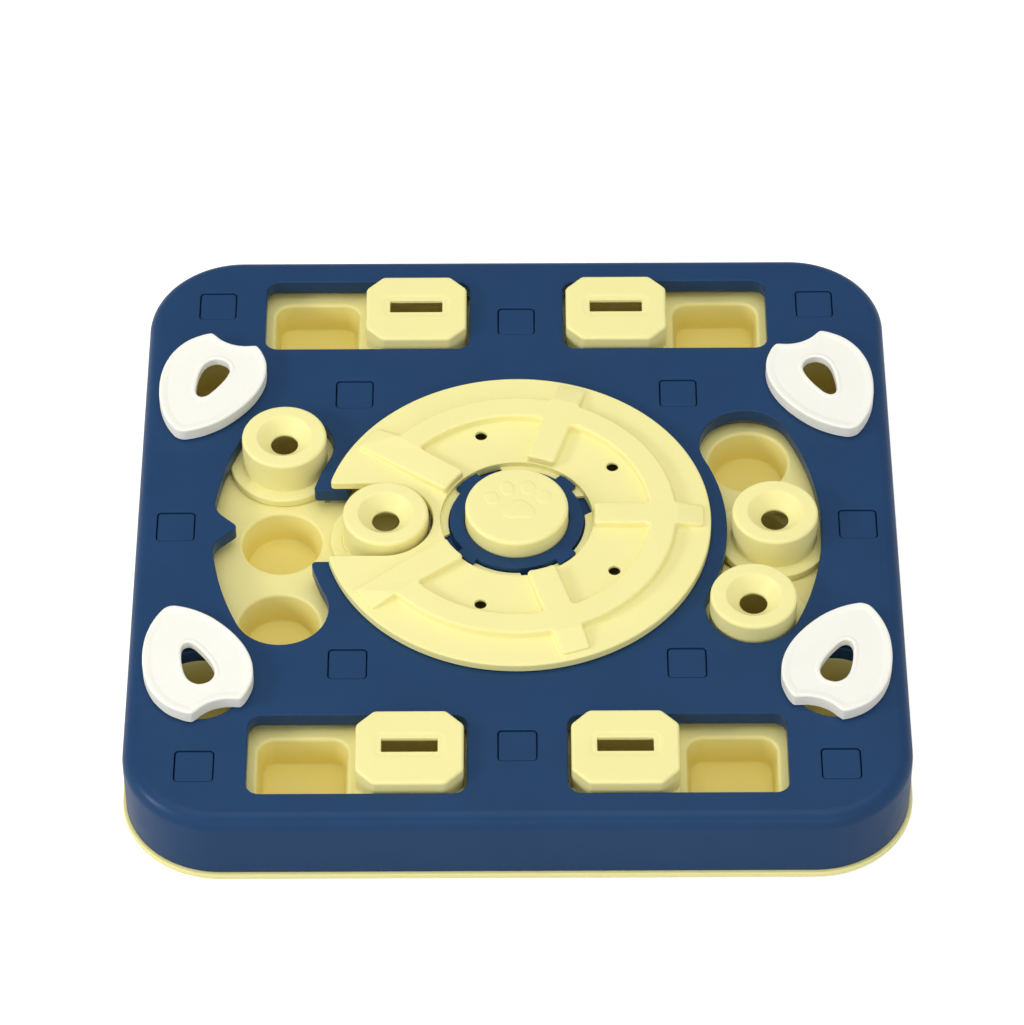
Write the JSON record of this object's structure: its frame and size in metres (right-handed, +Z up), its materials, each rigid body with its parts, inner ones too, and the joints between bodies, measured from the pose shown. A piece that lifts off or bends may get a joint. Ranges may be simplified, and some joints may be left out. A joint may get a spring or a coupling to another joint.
{
  "type": "dog puzzle feeder toy",
  "caption": "Square treat puzzle for dogs: cups under sliding blocks, swinging lids and channel pucks, with a turning disc round a squeaker button.",
  "frame": {"origin": "on the floor, under the middle of the square base", "axes": "+Z up, -Y the front edge, +X the right edge with the plain channel"},
  "size_m": [0.2904, 0.2904, 0.0427],
  "materials": {
    "navy_plastic": "satin moulded plastic",
    "cream_plastic": "satin moulded plastic",
    "white_plastic": "satin moulded plastic",
    "screw_steel": "zinc plated",
    "foot_rubber": "matte",
    "bellows_rubber": "matte"
  },
  "bodies": {
    "housing": {"top_cover": "navy_plastic", "hub_column": "navy_plastic", "lock_ring": "navy_plastic", "plug_corner_front_left": "navy_plastic", "plug_inner_front_left": "navy_plastic", "plug_corner_front_right": "navy_plastic", "plug_inner_front_right": "navy_plastic", "plug_corner_rear_left": "navy_plastic", "plug_inner_rear_left": "navy_plastic", "plug_corner_rear_right": "navy_plastic", "plug_inner_rear_right": "navy_plastic", "plug_front": "navy_plastic", "plug_rear": "navy_plastic", "plug_left": "navy_plastic", "plug_right": "navy_plastic", "base_tray": "cream_plastic", "channel_tray_left": "cream_plastic", "channel_tray_right": "cream_plastic", "slot_tray_front_left": "cream_plastic", "slot_tray_front_right": "cream_plastic", "slot_tray_rear_left": "cream_plastic", "slot_tray_rear_right": "cream_plastic", "screw_corner_front_left": "screw_steel", "screw_inner_front_left": "screw_steel", "screw_corner_front_right": "screw_steel", "screw_inner_front_right": "screw_steel", "screw_corner_rear_left": "screw_steel", "screw_inner_rear_left": "screw_steel", "screw_corner_rear_right": "screw_steel", "screw_inner_rear_right": "screw_steel", "screw_front": "screw_steel", "screw_rear": "screw_steel", "screw_left": "screw_steel", "screw_right": "screw_steel", "foot_front_left": "foot_rubber", "foot_front_right": "foot_rubber", "foot_rear_left": "foot_rubber", "foot_rear_right": "foot_rubber", "squeaker_bellows": "bellows_rubber"},
    "disc": {"disc": "cream_plastic"},
    "puck_notch": {"puck_notch": "cream_plastic"},
    "puck_rear_left": {"puck_rear_left": "cream_plastic"},
    "puck_right_middle": {"puck_right_middle": "cream_plastic"},
    "puck_right_front": {"puck_right_front": "cream_plastic"},
    "button": {"button": "cream_plastic"},
    "slide_block_front_left": {"slide_block_front_left": "cream_plastic"},
    "lid_front_left": {"lid_front_left": "white_plastic", "lid_screw_front_left": "screw_steel"},
    "slide_block_front_right": {"slide_block_front_right": "cream_plastic"},
    "lid_front_right": {"lid_front_right": "white_plastic", "lid_screw_front_right": "screw_steel"},
    "slide_block_rear_left": {"slide_block_rear_left": "cream_plastic"},
    "lid_rear_left": {"lid_rear_left": "white_plastic", "lid_screw_rear_left": "screw_steel"},
    "slide_block_rear_right": {"slide_block_rear_right": "cream_plastic"},
    "lid_rear_right": {"lid_rear_right": "white_plastic", "lid_screw_rear_right": "screw_steel"}
  },
  "joints": [
    {"name": "disc_turn", "type": "hinge", "parent": "housing", "child": "disc", "pos_m": [0, 0, 0.0318], "axis": [0, 0, 1], "range_deg": [0, 360]},
    {"name": "notch_puck_slide", "type": "slide", "parent": "disc", "child": "puck_notch", "axis": [1, 0, 0], "range_m": [-0.0245, 0]},
    {"name": "rear_left_puck_swing", "type": "hinge", "parent": "housing", "child": "puck_rear_left", "pos_m": [-0.0422, 0.0198, 0.0224], "axis": [0, 0, 1], "range_deg": [0, 34]},
    {"name": "right_middle_puck_turn", "type": "hinge", "parent": "housing", "child": "puck_right_middle", "pos_m": [0, 0, 0.0224], "axis": [0, 0, 1], "range_deg": [0, 25]},
    {"name": "right_front_puck_turn", "type": "hinge", "parent": "housing", "child": "puck_right_front", "pos_m": [0, 0, 0.0224], "axis": [0, 0, 1], "range_deg": [0, 25]},
    {"name": "front_left_block_slide", "type": "slide", "parent": "housing", "child": "slide_block_front_left", "axis": [-1, 0, 0], "range_m": [0, 0.0386]},
    {"name": "front_right_block_slide", "type": "slide", "parent": "housing", "child": "slide_block_front_right", "axis": [1, 0, 0], "range_m": [0, 0.0386]},
    {"name": "rear_left_block_slide", "type": "slide", "parent": "housing", "child": "slide_block_rear_left", "axis": [-1, 0, 0], "range_m": [0, 0.0386]},
    {"name": "rear_right_block_slide", "type": "slide", "parent": "housing", "child": "slide_block_rear_right", "axis": [1, 0, 0], "range_m": [0, 0.0386]},
    {"name": "front_left_lid_swing", "type": "hinge", "parent": "housing", "child": "lid_front_left", "pos_m": [-0.12628, -0.05279, 0.0318], "axis": [0, 0, -1], "range_deg": [0, 100]},
    {"name": "front_right_lid_swing", "type": "hinge", "parent": "housing", "child": "lid_front_right", "pos_m": [0.12628, -0.05279, 0.0318], "axis": [0, 0, 1], "range_deg": [0, 100]},
    {"name": "rear_left_lid_swing", "type": "hinge", "parent": "housing", "child": "lid_rear_left", "pos_m": [-0.12628, 0.05279, 0.0318], "axis": [0, 0, 1], "range_deg": [0, 100]},
    {"name": "rear_right_lid_swing", "type": "hinge", "parent": "housing", "child": "lid_rear_right", "pos_m": [0.12628, 0.05279, 0.0318], "axis": [0, 0, -1], "range_deg": [0, 100]},
    {"name": "button_press", "type": "slide", "parent": "housing", "child": "button", "axis": [0, 0, 1], "range_m": [-0.004, 0], "stiffness_N_per_m": 400, "springref_m": 0.002, "deforming": ["squeaker_bellows"]}
  ],
  "couplings": [
    {"joint": "right_front_puck_turn", "follows": "right_middle_puck_turn", "ratio": 1}
  ]
}
